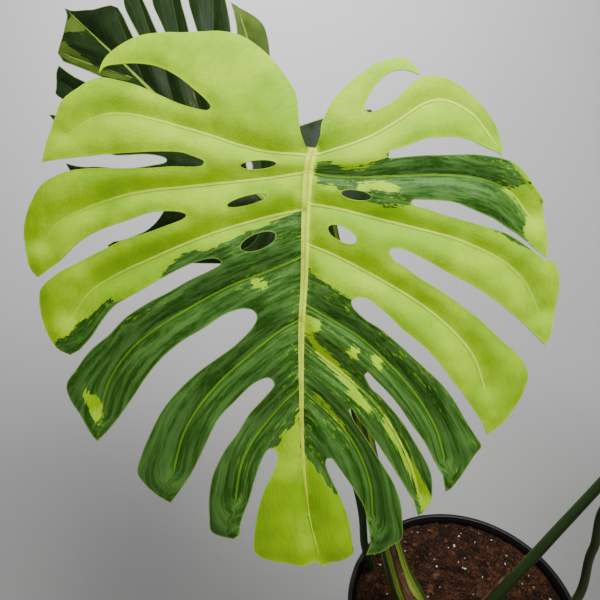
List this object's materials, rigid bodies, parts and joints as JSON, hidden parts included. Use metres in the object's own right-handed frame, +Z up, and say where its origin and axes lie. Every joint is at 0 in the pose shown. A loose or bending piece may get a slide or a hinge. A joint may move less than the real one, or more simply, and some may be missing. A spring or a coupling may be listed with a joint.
{
  "type": "potted monstera plant",
  "caption": "Split-leaf monstera with lime and dark green variegated leaves on long stalks, growing from a short stem in a black nursery pot of soil.",
  "frame": {"origin": "centre of the flat underside of the pot", "axes": "+Z up from the pot's foot; the front leaf's face looks toward -Y and up, and the tallest stalk on the right leans toward +X"},
  "size_m": [0.8815, 0.6829, 0.7698],
  "materials": {
    "pot": "satin black moulded plastic",
    "soil": "loose dark brown coir and peat with white perlite",
    "stem": "rough green-brown bark with leaf scars",
    "stalk_front": "satin olive green with pale stripes",
    "stalk_back": "satin dark green",
    "stalk_right": "satin dark green with an olive edge",
    "stalk_corner": "satin grey-green",
    "leaf_front": "waxy lime green with dark green variegation",
    "leaf_back": "waxy dark green with lime patches",
    "leaf_right": "waxy dark green with lime patches",
    "leaf_corner": "waxy lime green with dark green variegation",
    "dried_sheath_front": "dry brown papery skin",
    "dried_sheath_right": "dry brown papery skin",
    "aerial_root": "rough brown root skin"
  },
  "bodies": {
    "root": {"pot": "pot", "soil": "soil", "stem": "stem", "stalk_front": "stalk_front", "stalk_back": "stalk_back", "stalk_right": "stalk_right", "stalk_corner": "stalk_corner", "leaf_front": "leaf_front", "leaf_back": "leaf_back", "leaf_right": "leaf_right", "leaf_corner": "leaf_corner", "dried_sheath_front": "dried_sheath_front", "dried_sheath_right": "dried_sheath_right", "aerial_root_1": "aerial_root", "aerial_root_2": "aerial_root", "aerial_root_3": "aerial_root"}
  },
  "joints": []
}
